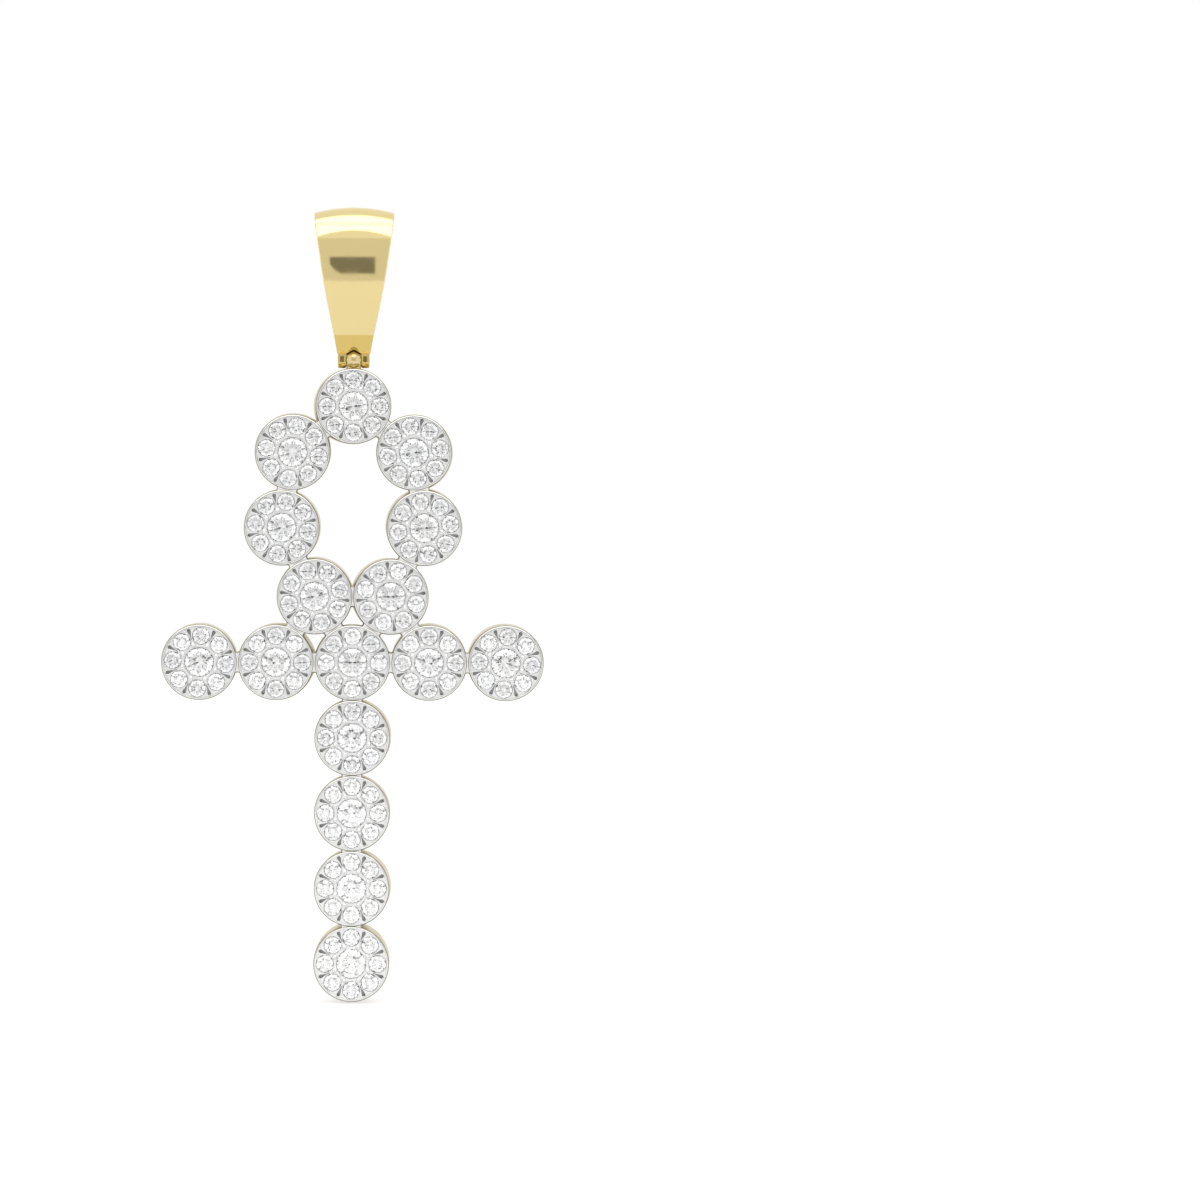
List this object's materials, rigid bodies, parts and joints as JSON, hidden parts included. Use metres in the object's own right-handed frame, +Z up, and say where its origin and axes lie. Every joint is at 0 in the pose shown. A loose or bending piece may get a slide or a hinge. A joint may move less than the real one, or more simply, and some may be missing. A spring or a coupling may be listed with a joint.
{
  "type": "ankh pendant with a swinging bail",
  "caption": "Two-tone ankh pendant of round stone clusters, swinging from a tapered bail that a chain passes through.",
  "frame": {"origin": "where a chain bears inside the top of the bail, on the pendant's middle plane", "axes": "+Z up with the pendant hanging, -Y towards the viewer, so the stones face -Y, +X to the viewer's right"},
  "size_m": [0.0276, 0.0052, 0.0574],
  "materials": {
    "yellow_gold": "polished yellow gold",
    "two_tone_gold": "yellow gold with its face plated white, polished",
    "accent_stone": "clear cut stone",
    "center_stone": "clear cut stone"
  },
  "bodies": {
    "bail_body": {"bail": "yellow_gold"},
    "ankh_body": {"frame": "two_tone_gold", "accent_stones": "accent_stone", "center_stone_01": "center_stone", "center_stone_02": "center_stone", "center_stone_03": "center_stone", "center_stone_04": "center_stone", "center_stone_05": "center_stone", "center_stone_06": "center_stone", "center_stone_07": "center_stone", "center_stone_08": "center_stone", "center_stone_09": "center_stone", "center_stone_10": "center_stone", "center_stone_11": "center_stone", "center_stone_12": "center_stone", "center_stone_13": "center_stone", "center_stone_14": "center_stone", "center_stone_15": "center_stone", "center_stone_16": "center_stone"}
  },
  "joints": [
    {"name": "ankh_swing", "type": "hinge", "parent": "bail_body", "child": "ankh_body", "pos_m": [0, 0, -0.01026], "axis": [1, 0, 0], "range_deg": [-70, 70]}
  ]
}
